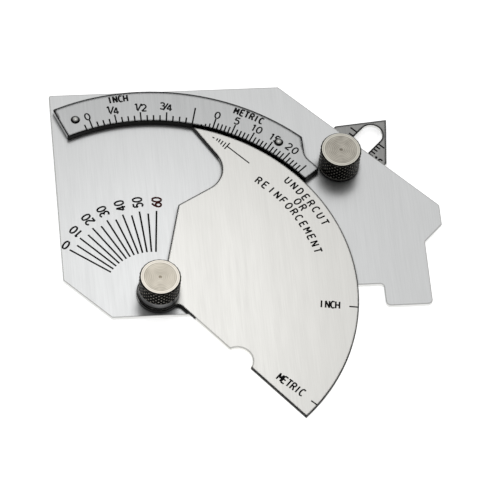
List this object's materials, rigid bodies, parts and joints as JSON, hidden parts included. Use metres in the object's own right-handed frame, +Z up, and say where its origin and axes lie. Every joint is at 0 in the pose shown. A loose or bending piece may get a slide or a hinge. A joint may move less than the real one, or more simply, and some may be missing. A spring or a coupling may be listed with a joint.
{
  "type": "weld gauge",
  "caption": "Flat bridge-type weld gauge: a cam with a pointer turns inside a raised arc scale, a slotted blade slides at 45 degrees behind the plate, and thumb nuts lock both.",
  "frame": {"origin": "on the cam's pivot axis, in the plane that the two screw heads on the back rest on", "axes": "+X along the line of the feet, from the pivot foot to the hook end; +Y away from the work; +Z up through the thumb nuts"},
  "size_m": [0.0983, 0.0991, 0.0119],
  "materials": {
    "frame_steel": "stainless sheet with a fine satin grain, edges cut square and lightly broken",
    "cam_steel": "stainless sheet with a fine satin grain",
    "scale_steel": "stainless sheet with a fine satin grain and black filled graduations",
    "blade_steel": "stainless sheet, matt, with black filled ticks",
    "rivet_steel": "round-headed rivet, polished",
    "screw_steel": "turned steel, nickel plated",
    "washer_steel": "stamped steel washer",
    "nut_steel": "turned steel, nickel plated, face ringed by the tool, side diamond knurled"
  },
  "bodies": {
    "frame": {"frame_plate": "frame_steel", "scale_plate": "scale_steel", "scale_rivet_left": "rivet_steel", "scale_rivet_right": "rivet_steel", "pivot_screw": "screw_steel", "clamp_screw": "screw_steel"},
    "cam": {"cam_plate": "cam_steel"},
    "cam_washer": {"cam_washer": "washer_steel"},
    "cam_nut": {"cam_thumb_nut": "nut_steel"},
    "blade": {"throat_blade": "blade_steel"},
    "clamp_washer": {"clamp_washer": "washer_steel"},
    "clamp_nut": {"clamp_thumb_nut": "nut_steel"}
  },
  "joints": [
    {"name": "cam_turn", "type": "hinge", "parent": "frame", "child": "cam", "pos_m": [0, 0, 0], "axis": [0, 0, 1], "continuous": true},
    {"name": "throat_slide", "type": "slide", "parent": "frame", "child": "blade", "axis": [0.7071, 0.7071, 0], "range_m": [-0.0125, 0.0151]},
    {"name": "cam_nut_lift", "type": "slide", "parent": "frame", "child": "cam_washer", "axis": [0, 0, 1], "range_m": [0, 0.0014]},
    {"name": "cam_nut_turn", "type": "hinge", "parent": "cam_washer", "child": "cam_nut", "pos_m": [0, 0, 0], "axis": [0, 0, 1], "range_deg": [0, 2520]},
    {"name": "clamp_nut_lift", "type": "slide", "parent": "frame", "child": "clamp_washer", "axis": [0, 0, 1], "range_m": [0, 0.0014]},
    {"name": "clamp_nut_turn", "type": "hinge", "parent": "clamp_washer", "child": "clamp_nut", "pos_m": [0.04968, 0.03638, 0], "axis": [0, 0, 1], "range_deg": [0, 2520]}
  ],
  "couplings": [
    {"joint": "cam_nut_turn", "follows": "cam_nut_lift", "rad_per_m": 8976},
    {"joint": "clamp_nut_turn", "follows": "clamp_nut_lift", "rad_per_m": 8976}
  ]
}
